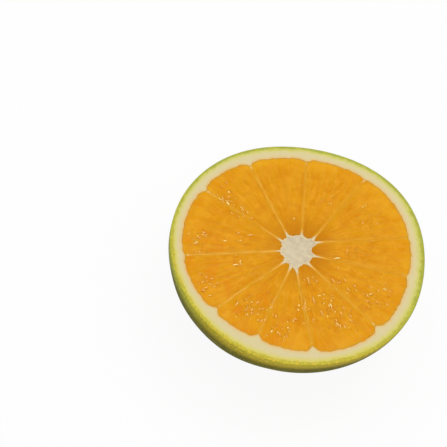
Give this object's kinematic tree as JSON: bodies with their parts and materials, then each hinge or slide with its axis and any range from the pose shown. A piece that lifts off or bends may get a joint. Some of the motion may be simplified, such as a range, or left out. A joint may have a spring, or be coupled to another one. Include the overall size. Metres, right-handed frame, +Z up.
{
  "type": "orange half",
  "caption": "Half of a sweet orange, cut across its segments, lying cut face up on its rounded skin: core, segments, pith ring and thin yellow-green zest.",
  "frame": {"origin": "middle of the half's outline in X and Y, on the surface that it rests on", "axes": "+Z up, out of the cut face; +X to the right in the picture; +Y away from the camera"},
  "size_m": [0.0754, 0.0754, 0.0314],
  "materials": {
    "orange_half": "wet orange flesh with a matte cream pith ring and core, and a waxy yellow-green skin"
  },
  "bodies": {
    "root": {"orange_half": "orange_half"}
  },
  "joints": []
}
